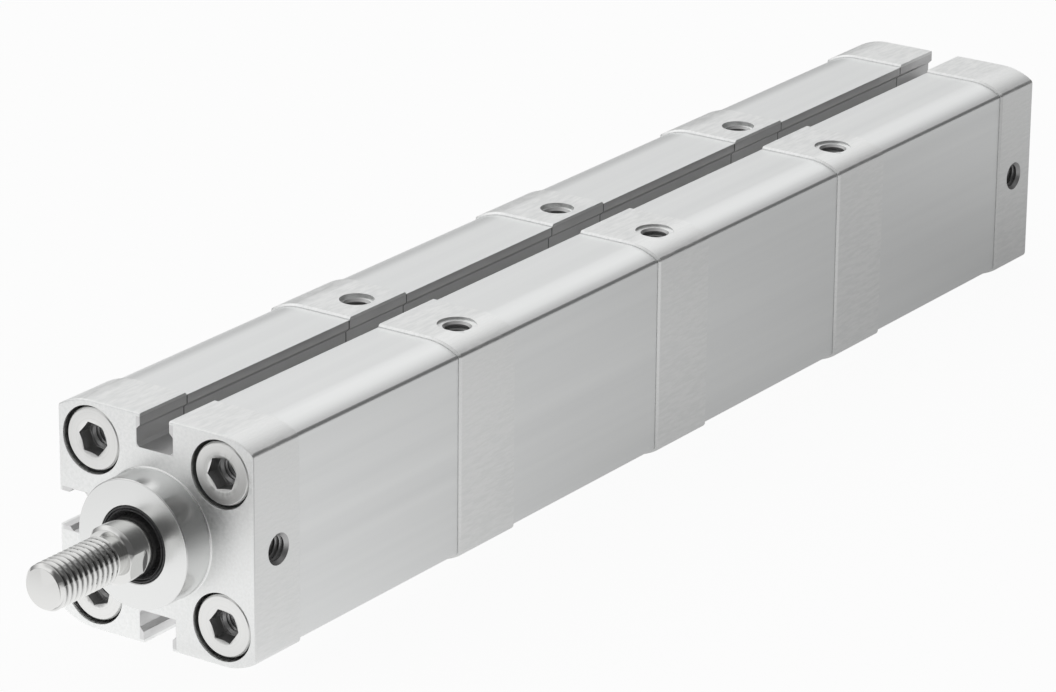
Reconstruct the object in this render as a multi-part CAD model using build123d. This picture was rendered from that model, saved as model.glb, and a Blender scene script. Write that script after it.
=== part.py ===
from build123d import *
from math import acos, cos, degrees, radians, sin
import os

# A tandem pneumatic cylinder in millimetres. The rod lies on X and points to +X, Z is up, and the
# origin is the middle of the bearing cap's front face. Four pistons on one rod train share the work.

# Driving dimensions: power and travel
stroke = 25.0
stage_count = 4
bore_d = 25.0
end_gap = 0.3

# Driving dimensions: body section
slot_floor_wall = 1.55
slot_depth = 5.7
slot_mouth_width = 5.9
slot_lip_depth = 2.0
slot_flare = 0.7
slot_floor_chamfer = 0.5
corner_radius = 12.0
corner_run = 6.75
barrel_step = 0.45
seam_chamfer = 0.35
edge_break = 0.2

# Driving dimensions: caps and modules
cap_length = 12.0
module_length = 16.0
spigot_length = 4.0
spigot_clearance = 0.1
oring_width = 1.7
oring_depth = 1.3
collar_inset = 1.5
collar_length = 6.0
collar_chamfer = 0.15
centring_bore_d = 9.0
centring_bore_depth = 2.1

# Driving dimensions: ports and module holes, all M5
port_thread_d = 5.0
port_thread_length = 6.0
port_mouth_chamfer = 0.2
port_setback = 6.2
duct_d = 2.4
duct_wall = 0.5
vent_slot_wall = 1.25
vent_counterbore_d = 6.0
vent_counterbore_depth = 0.8
vent_thread_length = 4.5
vent_duct_angle = 50.0
side_hole_offset = 0.3
side_hole_spot_d = 6.8
side_hole_spot_depth = 0.45
side_hole_floor_wall = 0.4

# Driving dimensions: rod, bushings and rod seals
rod_d = 10.0
rod_running = 0.04
bushing_wall = 0.96
bushing_length = 13.0
seal_section = 1.5
seal_running = 0.03
seat_clearance = 0.02
wiper_length = 3.0
wiper_lip_height = 0.4
rod_seal_length = 3.8
module_seal_length = 3.0
module_seal_section = 2.2
module_seal_setback = 2.2
module_rod_room = 0.1

# Driving dimensions: rod nose
thread_d = 8.0
thread_length = 14.9
thread_end_chamfer = 0.65
undercut_length = 1.2
undercut_depth = 0.75
shoulder_x = 12.0
shoulder_chamfer = 0.6
flat_width = 9.0
flat_length = 3.7
flat_turn = -12.0

# Driving dimensions: pistons and couplings
piston_clearance = 0.2
land_outer = 0.7
land_inner = 0.6
lip_groove_width = 1.7
lip_groove_depth = 2.3
guide_groove_width = 2.15
guide_section = 1.45
magnet_section = 1.95
groove_play = 0.05
packing_running = 0.04
bumper_proud = 1.0
bumper_seat = 0.6
bumper_rim = 1.3
bumper_pocket_gap = 0.4
tail_step = 1.0
tail_reach = 6.5
socket_end_play = 0.5
core_d = 2.5
cross_hole_d = 1.0
nut_width = 13.0
nut_height = 4.0
nut_stub = 0.7
nut_room = 0.7
nut_end_room = 2.1

# Driving dimensions: flange screws and tie rods
screw_inset = 6.75
head_d = 10.0
head_length = 5.5
head_chamfer = 0.3
head_recess = 0.45
head_room = 0.8
shank_d = 6.9
shank_length = 9.0
shank_room = 0.15
screw_thread_d = 5.0
hex_width = 5.1
hex_depth = 3.0
hex_mouth_d = 6.2
hex_mouth_depth = 0.45
hex_turns = (50.0, 10.5, 19.0, 53.0)
bolt_thread_length = 6.0
tie_rod_d = 4.5
tie_rod_play = 0.05
tie_rod_overlap = 5.0
tie_rod_room = 0.25

# Sizes that follow
bore_r = bore_d / 2
rod_r = rod_d / 2
spigot_r = bore_r - spigot_clearance
oring_floor_r = spigot_r - oring_depth
slot_floor_z = bore_r + slot_floor_wall
body_half = slot_floor_z + slot_depth
barrel_half = body_half - barrel_step
collar_r = bore_r - collar_inset
seal_seat_r = rod_r + seal_section
bushing_r = rod_r + rod_running + bushing_wall
duct_r = duct_d / 2
duct_offset = oring_floor_r - duct_wall - duct_r
port_r = port_thread_d / 2
thread_r = thread_d / 2
tail_r = rod_r - tail_step
core_r = core_d / 2

piston_length = 2 * land_outer + 2 * land_inner + 2 * lip_groove_width + guide_groove_width
barrel_length = stroke + piston_length + 2 * bumper_proud + 2 * end_gap + 2 * spigot_length
stage_pitch = barrel_length + module_length
rear_x = -2 * cap_length - stage_count * barrel_length - (stage_count - 1) * module_length
rear_port_x = rear_x + port_setback
front_port_x = -port_setback
piston_r = bore_r - piston_clearance
lip_floor_r = piston_r - lip_groove_depth
guide_floor_r = bore_r - packing_running - guide_section - magnet_section - 2 * groove_play
nut_corner_r = nut_width / 2 / cos(radians(30))
pocket_r = nut_corner_r + nut_room
bumper_inner_r = pocket_r + bumper_pocket_gap
bumper_outer_r = bore_r - bumper_rim

screw_offset = body_half - screw_inset
screw_spots = [(y, z) for z in (screw_offset, -screw_offset) for y in (-screw_offset, screw_offset)]
head_r = head_d / 2
shank_r = shank_d / 2
shank_bore_r = shank_r + shank_room
screw_bore_r = screw_thread_d / 2
tie_rod_r = tie_rod_d / 2
tie_rod_hole_r = tie_rod_r + tie_rod_room
vent_y = -(slot_mouth_width / 2 + slot_flare + vent_slot_wall + port_r)
side_hole_y = screw_offset + side_hole_offset


# Basic shapes: round bars along each axis, and pieces turned on the cylinder's axis

def bar(x_low, x_high, radius, y=0.0, z=0.0):
    """A round bar along X, or the drill that leaves such a hole."""
    blank = Cylinder(radius, x_high - x_low, align=(Align.CENTER, Align.CENTER, Align.MIN))
    return Pos(x_low, y, z) * Rot(0, 90, 0) * blank


def bar_y(x, y_low, y_high, radius):
    """A round bar along Y at height zero."""
    blank = Cylinder(radius, y_high - y_low, align=(Align.CENTER, Align.CENTER, Align.MIN))
    return Pos(x, y_low, 0) * Rot(-90, 0, 0) * blank


def bar_z(x, y, z_low, z_high, radius):
    """A round bar along Z."""
    blank = Cylinder(radius, z_high - z_low, align=(Align.CENTER, Align.CENTER, Align.MIN))
    return Pos(x, y, z_low) * blank


def turned(*outline):
    """A solid of revolution about X, from its outline of (x, radius) points."""
    return revolve(make_face(Polyline(*outline, close=True)), Axis.X)


def ring(x_low, x_high, inner_r, outer_r):
    """A plain ring on the cylinder's axis."""
    return turned((x_low, inner_r), (x_low, outer_r), (x_high, outer_r), (x_high, inner_r))


# The body section: a square with wide arcs at its corners and a T-slot on three of its sides

def outline_curve(half):
    """One closed outline of half width half. Top and bottom run into the corner arcs without an
    edge, and the arcs meet the flat sides at a crease."""
    centre_y, centre_z = body_half - corner_run, body_half - corner_radius
    radius = corner_radius - (body_half - half)
    crease_angle = degrees(acos((half - centre_y) / radius))
    crease_z = centre_z + radius * sin(radians(crease_angle))
    quarter = Curve() + [
        Line((0, half), (centre_y, half)),
        CenterArc((centre_y, centre_z), radius, crease_angle, 90 - crease_angle),
        Line((half, crease_z), (half, 0)),
    ]
    upper = quarter + mirror(quarter, Plane.YZ)
    return upper + mirror(upper, Plane.XZ)


def slot_profile():
    """The T-slot that sensors slide into, open upwards past the body."""
    mouth, cavity = slot_mouth_width / 2, slot_mouth_width / 2 + slot_flare
    lip_z = body_half - slot_lip_depth
    right = [
        (mouth, body_half + slot_depth),
        (mouth, lip_z),
        (cavity, lip_z - slot_flare),
        (cavity, slot_floor_z + slot_floor_chamfer),
        (cavity - slot_floor_chamfer, slot_floor_z),
    ]
    left = [(-y, z) for y, z in reversed(right)]
    return make_face(Polyline(*right, *left, close=True))


def body_section(half):
    """The outline with its slots on the top, on the left side and on the bottom."""
    section = make_face(outline_curve(half))
    for turn in (0, 90, 180):
        section -= Rot(0, 0, turn) * slot_profile()
    return section


def body_block(x_rear, x_front, half):
    """The body section, extruded along X."""
    return extrude(Plane.YZ.offset(x_rear) * body_section(half), x_front - x_rear)


def rim_edges(block, x, half):
    """The outer edges of a block's end face, without those in its slots."""
    end_face = block.faces().filter_by(Axis.X).sort_by(lambda face: abs(face.center().X - x))[0]
    on_rim = half - barrel_step / 2
    return [
        edge for edge in end_face.edges()
        if edge.geom_type == GeomType.CIRCLE
        or max(abs(edge.center().Y), abs(edge.center().Z)) > on_rim
    ]


def cap_block(x_rear, x_front, rear_chamfer, front_chamfer):
    """A full-width block with its two rims broken."""
    block = body_block(x_rear, x_front, body_half)
    block = chamfer(rim_edges(block, x_rear, body_half), rear_chamfer)
    return chamfer(rim_edges(block, x_front, body_half), front_chamfer)


# Where each stage's parts lie, with the rod pulled in. Stage 0 is the one at the front.

def barrel_front_x(stage):
    return -cap_length - stage * stage_pitch


def module_front_x(stage):
    return barrel_front_x(stage) - barrel_length


def piston_rear_x(stage):
    return module_front_x(stage) + spigot_length + end_gap + bumper_proud


def piston_front_x(stage):
    return piston_rear_x(stage) + piston_length


def cross_hole_x(stage):
    return piston_rear_x(stage) - (bumper_proud + end_gap) / 2


# Spigots and their O-rings

def spigot(x_face, side):
    """The plug that centres a barrel: it leaves the face at x_face towards side."""
    near, far = sorted((x_face, x_face + side * spigot_length))
    plug = bar(near, far, spigot_r)
    middle = x_face + side * spigot_length / 2
    groove = ring(middle - oring_width / 2, middle + oring_width / 2, oring_floor_r, bore_r)
    return plug - groove


def spigot_oring(x_face, side):
    """The O-ring in a spigot's groove, squeezed flat where it meets the floor and the bore."""
    middle = x_face + side * spigot_length / 2
    half = oring_width / 2 - groove_play
    inner, outer = oring_floor_r + seat_clearance, bore_r - seat_clearance
    quarter_section = (outer - inner) / 4
    return turned(
        (middle - half / 2, inner),
        (middle - half, inner + quarter_section),
        (middle - half, outer - quarter_section),
        (middle - half / 2, outer),
        (middle + half / 2, outer),
        (middle + half, outer - quarter_section),
        (middle + half, inner + quarter_section),
        (middle + half / 2, inner),
    )


def screw_seats(x_face, side):
    """Counterbores and shank holes for the four flange screws of a cap. Side points outwards."""
    seat_x = x_face - side * (head_recess + head_length)
    tools = []
    for y, z in screw_spots:
        low, high = sorted((seat_x, x_face + side))
        tools.append(bar(low, high, head_r + head_room, y, z))
        low, high = sorted((seat_x, x_face - side * (cap_length + spigot_length)))
        tools.append(bar(low, high, shank_bore_r, y, z))
    return tools


def port(x, bottom_y):
    """A threaded port on the flat side, drilled on to bottom_y."""
    thread_bottom = body_half - port_thread_length
    mouth = Pos(x, body_half, 0) * Rot(90, 0, 0) * Cone(
        port_r + port_mouth_chamfer, port_r, port_mouth_chamfer,
        align=(Align.CENTER, Align.CENTER, Align.MIN),
    )
    return [
        bar_y(x, thread_bottom, body_half, port_r),
        bar_y(x, bottom_y, thread_bottom, duct_r + duct_wall),
        mouth,
    ]


# The bearing cap with its collar, and what sits in it

def bearing_cap():
    cap = cap_block(-cap_length, 0, seam_chamfer, edge_break)
    cap += turned(
        (-collar_length, 0), (-collar_length, collar_r), (collar_length - collar_chamfer, collar_r),
        (collar_length, collar_r - collar_chamfer), (collar_length, 0),
    )
    cap += spigot(-cap_length, -1)
    for tool in screw_seats(0, 1):
        cap -= tool
    cap -= bar(collar_length - wiper_length - rod_seal_length, collar_length, seal_seat_r)
    cap -= bar(-cap_length - spigot_length, collar_length, bushing_r)
    for tool in port(front_port_x, duct_offset):
        cap -= tool
    return cap - bar(-cap_length - spigot_length, front_port_x, duct_r, duct_offset)


def rod_wiper():
    """The scraper ring in the collar's mouth, with its lip standing a little proud."""
    back = collar_length - wiper_length
    inner, outer = rod_r + seal_running, seal_seat_r - seat_clearance
    lip_r = (inner + outer) / 2
    return turned(
        (back, inner), (back, outer), (collar_length, outer),
        (collar_length, outer - wiper_lip_height), (collar_length - wiper_lip_height, lip_r),
        (collar_length + wiper_lip_height, inner + wiper_lip_height), (collar_length, inner),
    )


def cup_seal(x_back, length, inner_r, outer_r):
    """A lip seal: a ring with a V-groove on its pressure side, which faces the rear."""
    middle_r, groove = (inner_r + outer_r) / 2, (outer_r - inner_r) / 4
    return turned(
        (x_back, inner_r), (x_back, middle_r - groove), (x_back + length / 2, middle_r),
        (x_back, middle_r + groove), (x_back, outer_r), (x_back + length, outer_r),
        (x_back + length, inner_r),
    )


def rod_seal():
    front = collar_length - wiper_length
    return cup_seal(
        front - rod_seal_length, rod_seal_length, rod_r + seal_running, seal_seat_r - seat_clearance
    )


def bushing(x_rear):
    return ring(x_rear, x_rear + bushing_length, rod_r + rod_running, bushing_r - seat_clearance)


# Barrels and the modules between them

def barrel(stage):
    """One length of extrusion, with its honed bore and four corner bores."""
    front = barrel_front_x(stage)
    tube = body_block(front - barrel_length, front, barrel_half)
    tube -= bar(front - barrel_length, front, bore_r)
    for y, z in screw_spots:
        tube -= bar(front - barrel_length, front, shank_bore_r, y, z)
    return tube


def module_holes(stage):
    """The vent hole with its duct to the chamber behind the module, and the blind side hole that
    ends above the tie rod."""
    middle = module_front_x(stage) - module_length / 2
    rear_face = module_front_x(stage) - module_length - spigot_length
    duct_y = -duct_offset * sin(radians(vent_duct_angle))
    duct_z = duct_offset * cos(radians(vent_duct_angle))
    counterbore_z = body_half - vent_counterbore_depth
    spot_z = body_half - side_hole_spot_depth
    side_floor_z = screw_offset + tie_rod_hole_r + side_hole_floor_wall
    return [
        bar_z(middle, vent_y, counterbore_z, body_half, vent_counterbore_d / 2),
        bar_z(middle, vent_y, counterbore_z - vent_thread_length, counterbore_z, port_r),
        bar_z(middle, vent_y, duct_z, counterbore_z, duct_r),
        bar(rear_face, middle, duct_r, duct_y, duct_z),
        bar_z(middle, side_hole_y, spot_z, body_half, side_hole_spot_d / 2),
        bar_z(middle, side_hole_y, side_floor_z, spot_z, port_r),
    ]


def module_seal_front_x(stage):
    return module_front_x(stage) + spigot_length - module_seal_setback


def module(stage):
    """The block between two barrels, which carries and seals the rod train."""
    front = module_front_x(stage)
    rear = front - module_length
    block = cap_block(rear, front, seam_chamfer, seam_chamfer)
    block += spigot(front, 1)
    block += spigot(rear, -1)
    block -= bar(rear - spigot_length, front + spigot_length, rod_r + module_rod_room)
    block -= bar(rear - spigot_length, rear - spigot_length + bushing_length, bushing_r)
    seal_front = module_seal_front_x(stage)
    block -= bar(seal_front - module_seal_length, seal_front, rod_r + module_seal_section)
    for y, z in screw_spots:
        block -= bar(rear, front, tie_rod_hole_r, y, z)
    for tool in module_holes(stage):
        block -= tool
    return block


def module_bushing(stage):
    return bushing(module_front_x(stage) - module_length - spigot_length)


def module_seal(stage):
    back = module_seal_front_x(stage) - module_seal_length + groove_play
    outer_r = rod_r + module_seal_section - seat_clearance
    return cup_seal(back, module_seal_length - 2 * groove_play, rod_r + seal_running, outer_r)


def module_orings(stage):
    front = module_front_x(stage)
    return Compound([*spigot_oring(front, 1).solids(), *spigot_oring(front - module_length, -1).solids()])


# The end cap

def end_cap():
    """The rear cap: nut pocket, rear port, centring bore and screw seats."""
    front = rear_x + cap_length
    cap = cap_block(rear_x, front, edge_break, seam_chamfer)
    cap += spigot(front, 1)
    for tool in screw_seats(rear_x, -1):
        cap -= tool
    pocket_floor = piston_rear_x(stage_count - 1) - nut_height - nut_stub - nut_end_room
    cap -= bar(pocket_floor, front + spigot_length, pocket_r)
    duct_y = pocket_r - duct_wall - duct_r
    for tool in port(rear_port_x, duct_y):
        cap -= tool
    cap -= bar(rear_port_x, pocket_floor, duct_r, duct_y)
    return cap - bar(rear_x, rear_x + centring_bore_depth, centring_bore_d / 2)


# Flange screws and tie rods

def flange_screw(x_face, side, y, z, turn):
    """A sleeve screw: its head has a hexagon socket, its bore takes the user's screw in front, and
    a narrower bore behind holds the tie rod. Side points outwards."""
    top = x_face - side * head_recess
    seat, tip = top - side * head_length, top - side * (head_length + shank_length)
    hex_bottom, mouth = top - side * hex_depth, top - side * hex_mouth_depth
    thread_end = hex_bottom - side * bolt_thread_length
    screw = turned(
        (top, 0), (top, head_r - head_chamfer), (top - side * head_chamfer, head_r), (seat, head_r),
        (seat, shank_r), (tip, shank_r), (tip, 0),
    )
    socket = Plane.YZ.offset(min(hex_bottom, top)) * RegularPolygon(hex_width / 2, 6, False, turn)
    screw -= extrude(socket, hex_depth)
    screw -= bar(min(thread_end, top), max(thread_end, top), screw_bore_r)
    screw -= bar(min(thread_end, tip), max(thread_end, tip), tie_rod_r + tie_rod_play)
    screw -= turned(
        (top, 0), (top, hex_mouth_d / 2), (mouth, hex_mouth_d / 2 - hex_mouth_depth), (mouth, 0),
    )
    return Pos(0, y, z) * screw


def flange_screws(x_face, side):
    screws = [
        flange_screw(x_face, side, y, z, turn) for (y, z), turn in zip(screw_spots, hex_turns)
    ]
    return Compound([solid for screw in screws for solid in screw.solids()])


def tie_rods():
    """Four rods from end to end, each screwed into a flange screw at both ends."""
    reach = head_recess + head_length + shank_length - tie_rod_overlap
    rods = [bar(rear_x + reach, -reach, tie_rod_r, y, z) for y, z in screw_spots]
    return Compound([solid for rod in rods for solid in rod.solids()])


# Pistons with their packings

def piston_grooves(stage):
    """The front edges of the two lip grooves and of the guide groove."""
    front_lip = piston_front_x(stage) - land_outer
    guide = front_lip - lip_groove_width - land_inner
    rear_lip = guide - guide_groove_width - land_inner
    return front_lip, guide, rear_lip


def bumper_ring(x_face, side, play):
    """A cushion ring let into a piston face. Side points out of the piston."""
    low, high = sorted((x_face - side * bumper_seat, x_face + side * bumper_proud))
    return ring(low, high, bumper_inner_r + play, bumper_outer_r - play)


def piston(stage):
    front, rear = piston_front_x(stage), piston_rear_x(stage)
    front_lip, guide, rear_lip = piston_grooves(stage)
    disc = ring(rear, front, tail_r + seat_clearance, piston_r)
    for groove in (front_lip, rear_lip):
        disc -= ring(groove - lip_groove_width, groove, lip_floor_r, bore_r)
    disc -= ring(guide - guide_groove_width, guide, guide_floor_r, bore_r)
    return disc - bumper_ring(front, 1, 0) - bumper_ring(rear, -1, 0)


def bumpers(stage):
    front = bumper_ring(piston_front_x(stage), 1, groove_play)
    rear = bumper_ring(piston_rear_x(stage), -1, groove_play)
    return Compound([*front.solids(), *rear.solids()])


def lip_ring(x_front, lip_side):
    """A piston lip seal in the groove behind x_front, thinner at its lip than at its heel."""
    low, high = x_front - lip_groove_width + groove_play, x_front - groove_play
    inner, outer = lip_floor_r + groove_play, bore_r - packing_running
    lip_x, heel_x = (high, low) if lip_side > 0 else (low, high)
    lip_inner = (inner + outer) / 2
    return turned(
        (heel_x, inner), (heel_x, outer - packing_running), (lip_x, outer), (lip_x, lip_inner),
        ((lip_x + heel_x) / 2, inner),
    )


def piston_seals(stage):
    front_lip, _, rear_lip = piston_grooves(stage)
    return Compound([*lip_ring(front_lip, 1).solids(), *lip_ring(rear_lip, -1).solids()])


def guide_ring(stage):
    """The bearing ring that keeps the piston off the barrel, over the magnet."""
    front = piston_grooves(stage)[1]
    outer = bore_r - packing_running
    return ring(front - guide_groove_width + groove_play, front - groove_play, outer - guide_section, outer)


def magnet_ring(stage):
    """The ring magnet that the sensors in the slots see."""
    front = piston_grooves(stage)[1]
    inner = guide_floor_r + groove_play
    return ring(
        front - guide_groove_width + groove_play, front - groove_play, inner, inner + magnet_section
    )


# The rod train: a front rod and hollow links, each with a tail that holds a piston and plugs into
# the next link, so that air reaches every chamber behind a piston through the hollow core

def cross_hole(stage):
    """The hole through which the core feeds the chamber behind a stage's piston."""
    return bar_z(cross_hole_x(stage), 0, -rod_r, rod_r, cross_hole_d / 2)


def piston_rod():
    """The front rod: thread, undercut, wrench flats, shaft and tail."""
    thread_start = shoulder_x + undercut_length
    tip = thread_start + thread_length
    tail_end = piston_rear_x(0) - tail_reach
    rod = turned(
        (tail_end, 0), (tail_end, tail_r), (piston_front_x(0), tail_r), (piston_front_x(0), rod_r),
        (shoulder_x - shoulder_chamfer, rod_r), (shoulder_x, rod_r - shoulder_chamfer),
        (shoulder_x, thread_r - undercut_depth), (thread_start, thread_r - undercut_depth),
        (thread_start, thread_r), (tip - thread_end_chamfer, thread_r),
        (tip, thread_r - thread_end_chamfer), (tip, 0),
    )
    for turn in (flat_turn, flat_turn + 180):
        blank = Box(flat_length + shoulder_chamfer, rod_r, rod_d, align=(Align.MIN, Align.MIN, Align.CENTER))
        rod -= Rot(turn, 0, 0) * Pos(shoulder_x - flat_length, flat_width / 2, 0) * blank
    rod -= bar(tail_end, cross_hole_x(0), core_r)
    return rod - cross_hole(0)


def rod_link(stage):
    """The link that ends in the given stage's piston. The last tail carries the nut."""
    front = piston_rear_x(stage - 1)
    last = stage == stage_count - 1
    tail_end = piston_rear_x(stage) - (nut_height + nut_stub if last else tail_reach)
    link = turned(
        (tail_end, 0), (tail_end, tail_r), (piston_front_x(stage), tail_r),
        (piston_front_x(stage), rod_r), (front, rod_r), (front, 0),
    )
    link -= bar(front - tail_reach - socket_end_play, front, tail_r + seat_clearance)
    link -= bar(tail_end, front, core_r)
    link -= cross_hole(stage - 1)
    return link if last else link - cross_hole(stage)


def piston_nut():
    rear = piston_rear_x(stage_count - 1)
    blank = extrude(Plane.YZ.offset(rear - nut_height) * RegularPolygon(nut_width / 2, 6, False), nut_height)
    return blank - bar(rear - nut_height, rear, tail_r + seat_clearance)


# All pieces by name

nodes = {
    "bearing_cap": bearing_cap(),
    "rod_wiper": rod_wiper(),
    "rod_seal": rod_seal(),
    "rod_bushing": bushing(-cap_length - spigot_length),
    "front_cap_oring": spigot_oring(-cap_length, -1),
    "piston_rod": piston_rod(),
    "piston_nut": piston_nut(),
    "end_cap": end_cap(),
    "end_cap_oring": spigot_oring(rear_x + cap_length, 1),
    "flange_screws_front": flange_screws(0, 1),
    "flange_screws_rear": flange_screws(rear_x, -1),
    "tie_rods": tie_rods(),
}
for stage in range(stage_count):
    number = stage + 1
    nodes[f"barrel_{number}"] = barrel(stage)
    nodes[f"piston_{number}"] = piston(stage)
    nodes[f"piston_seals_{number}"] = piston_seals(stage)
    nodes[f"guide_ring_{number}"] = guide_ring(stage)
    nodes[f"magnet_ring_{number}"] = magnet_ring(stage)
    nodes[f"bumpers_{number}"] = bumpers(stage)
for stage in range(stage_count - 1):
    number = stage + 1
    nodes[f"module_{number}"] = module(stage)
    nodes[f"module_bushing_{number}"] = module_bushing(stage)
    nodes[f"module_seal_{number}"] = module_seal(stage)
    nodes[f"module_orings_{number}"] = module_orings(stage)
    nodes[f"rod_link_{number}"] = rod_link(stage + 1)

os.makedirs("parts", exist_ok=True)
for name, shape in nodes.items():
    export_step(shape, f"parts/{name}.step")
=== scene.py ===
import math

import bmesh
import bpy
from mathutils import Matrix, Vector


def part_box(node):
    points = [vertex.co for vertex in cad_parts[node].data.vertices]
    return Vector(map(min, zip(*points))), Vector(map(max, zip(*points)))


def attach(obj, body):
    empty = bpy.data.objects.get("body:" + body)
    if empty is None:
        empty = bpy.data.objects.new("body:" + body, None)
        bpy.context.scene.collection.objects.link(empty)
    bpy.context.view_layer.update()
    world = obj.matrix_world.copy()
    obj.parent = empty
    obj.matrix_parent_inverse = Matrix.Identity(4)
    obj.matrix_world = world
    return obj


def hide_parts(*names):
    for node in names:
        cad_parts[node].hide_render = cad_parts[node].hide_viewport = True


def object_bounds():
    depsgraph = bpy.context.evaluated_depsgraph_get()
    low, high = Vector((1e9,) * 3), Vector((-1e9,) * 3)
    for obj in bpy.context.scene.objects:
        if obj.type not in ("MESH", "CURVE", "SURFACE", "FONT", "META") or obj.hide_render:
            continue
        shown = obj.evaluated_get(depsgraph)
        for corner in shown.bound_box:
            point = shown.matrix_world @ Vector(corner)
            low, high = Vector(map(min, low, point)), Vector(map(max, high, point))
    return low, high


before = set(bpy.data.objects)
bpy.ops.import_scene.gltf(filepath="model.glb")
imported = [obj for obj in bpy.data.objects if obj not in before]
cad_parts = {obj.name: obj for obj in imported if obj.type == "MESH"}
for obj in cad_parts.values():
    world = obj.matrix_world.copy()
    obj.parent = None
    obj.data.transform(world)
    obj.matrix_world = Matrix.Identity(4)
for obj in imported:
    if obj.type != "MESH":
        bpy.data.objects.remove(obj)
cad_low, cad_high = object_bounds()

# The studio: a white table that the cylinder lies on, pale walls that are darker on the right, one
# large soft lamp over the left side, and a camera with a long lens. None of it is part of the
# cylinder.
mm = 0.001

view_azimuth, view_elevation, view_roll = (math.radians(a) for a in (124.491, 20.041, 0.526))
view_pivot = Vector((-120.0, 0.0, 0.0)) * mm
view_distance = 900.76 * mm
view_offset_right, view_offset_up = 9.105 * mm, 3.449 * mm
lens_focal_length = 173.09

view_back = Vector((
    math.sin(view_azimuth) * math.cos(view_elevation),
    -math.cos(view_azimuth) * math.cos(view_elevation),
    math.sin(view_elevation),
))
level_right = Vector((math.cos(view_azimuth), math.sin(view_azimuth), 0.0))
level_up = view_back.cross(level_right)
view_right = math.cos(view_roll) * level_right + math.sin(view_roll) * level_up
view_up = view_back.cross(view_right)
view_place = (
    view_pivot + view_distance * view_back
    - view_offset_right * view_right - view_offset_up * view_up
)

camera_data = bpy.data.cameras.new("camera")
camera_data.lens = lens_focal_length
camera_data.clip_start, camera_data.clip_end = 0.05, 20.0
camera = bpy.data.objects.new("camera", camera_data)
camera_axes = Matrix((view_right, view_up, view_back)).transposed()
camera.matrix_world = Matrix.Translation(view_place) @ camera_axes.to_4x4()
bpy.context.scene.collection.objects.link(camera)
bpy.context.scene.camera = camera
bpy.context.scene.view_settings.view_transform = "Standard"

table_half = 3.0
bpy.ops.mesh.primitive_plane_add(size=2 * table_half, location=(0, 0, cad_low.z))
table = bpy.context.object
table.name = "table"
bpy.ops.object.transform_apply(location=True, rotation=False, scale=False)


def link(tree, source, target):
    """Joins two sockets."""
    tree.links.new(source, target)


def add_node(tree, kind, **values):
    """A new node with some of its inputs set by name."""
    node = tree.nodes.new(kind)
    for name, value in values.items():
        node.inputs[name.replace("_", " ")].default_value = value
    return node


def math_node(tree, operation, first, second=None, third=None):
    """The output of a Math node whose inputs are sockets or plain numbers."""
    node = tree.nodes.new("ShaderNodeMath")
    node.operation = operation
    for slot, value in enumerate((first, second, third)):
        if isinstance(value, bpy.types.NodeSocket):
            tree.links.new(value, node.inputs[slot])
        elif value is not None:
            node.inputs[slot].default_value = value
    return node.outputs[0]


def ease(tree, value, low, high, from_value=0.0, to_value=1.0):
    """Runs smoothly from one value to another while the input goes from low to high."""
    node = tree.nodes.new("ShaderNodeMapRange")
    node.interpolation_type = "SMOOTHSTEP"
    for name, number in (("From Min", low), ("From Max", high)):
        node.inputs[name].default_value = number
    for name, number in (("To Min", from_value), ("To Max", to_value)):
        node.inputs[name].default_value = number
    tree.links.new(value, node.inputs["Value"])
    return node.outputs["Result"]


def mixed(tree, mask, first, second, kind="RGBA"):
    """Runs between two colours or two numbers, each plain or from a socket, with a mask."""
    mix = tree.nodes.new("ShaderNodeMix")
    mix.data_type = kind
    link(tree, mask, mix.inputs["Factor"])
    places, result = ((6, 7), 2) if kind == "RGBA" else ((2, 3), 0)
    for slot, value in zip(places, (first, second)):
        if isinstance(value, bpy.types.NodeSocket):
            link(tree, value, mix.inputs[slot])
        elif kind == "RGBA":
            mix.inputs[slot].default_value = (*value, 1)
        else:
            mix.inputs[slot].default_value = value
    return mix.outputs[result]


def object_place(tree):
    """The three object coordinates, by their letter."""
    place = tree.nodes.new("ShaderNodeSeparateXYZ")
    link(tree, tree.nodes.new("ShaderNodeTexCoord").outputs["Object"], place.inputs[0])
    return place.outputs


# The tone on the right at the rear is painted shadow of the cylinder in the table's reflection, and
# the gain at the end is painted light behind the end cap.
table_tone, table_shadow_share = 0.80, 0.05
far_front_tone, front_tone, middle_tone, rear_loss = 0.92, 1.12, 0.86, 0.44
right_rear_shadow_tone, near_tone, end_light_gain = 0.62, 0.35, 1.5

table_paint = bpy.data.materials.new("white_table")
table_paint.use_nodes = True
tree = table_paint.node_tree
tree.nodes.clear()
matte = add_node(tree, "ShaderNodeBsdfDiffuse", Color=(table_tone, table_tone, table_tone, 1))
backdrop = add_node(tree, "ShaderNodeEmission", Color=(1, 1, 1, 1), Strength=1.0)
mirrored = add_node(tree, "ShaderNodeEmission", Color=(1, 1, 1, 1))
place = object_place(tree)

# How bright the metal mirrors each place of the table: from the front to the rear, then on the right
# beside the cylinder, darker towards its rear as painted shadow of the cylinder, close in front, and
# beside and behind the end cap, brighter as painted light.
away = math_node(tree, "SUBTRACT", place["Y"], place["X"])
reflected = math_node(
    tree, "ADD", ease(tree, away, -155 * mm, -50 * mm, far_front_tone, front_tone),
    ease(tree, away, -12 * mm, 45 * mm, 0.0, middle_tone - front_tone),
)
reflected = math_node(
    tree, "ADD", reflected, ease(tree, away, 110 * mm, 420 * mm, 0.0, -rear_loss)
)
# Painted shadow of the cylinder, on the right beside it towards its rear.
shadow_beside = ease(tree, place["X"], -130 * mm, 15 * mm, right_rear_shadow_tone, 1.0)
shadow_beside = mixed(tree, ease(tree, place["Y"], 20 * mm, 85 * mm), shadow_beside, 1.0, "FLOAT")
nearer = math_node(tree, "MINIMUM", place["X"], place["Y"])
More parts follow.
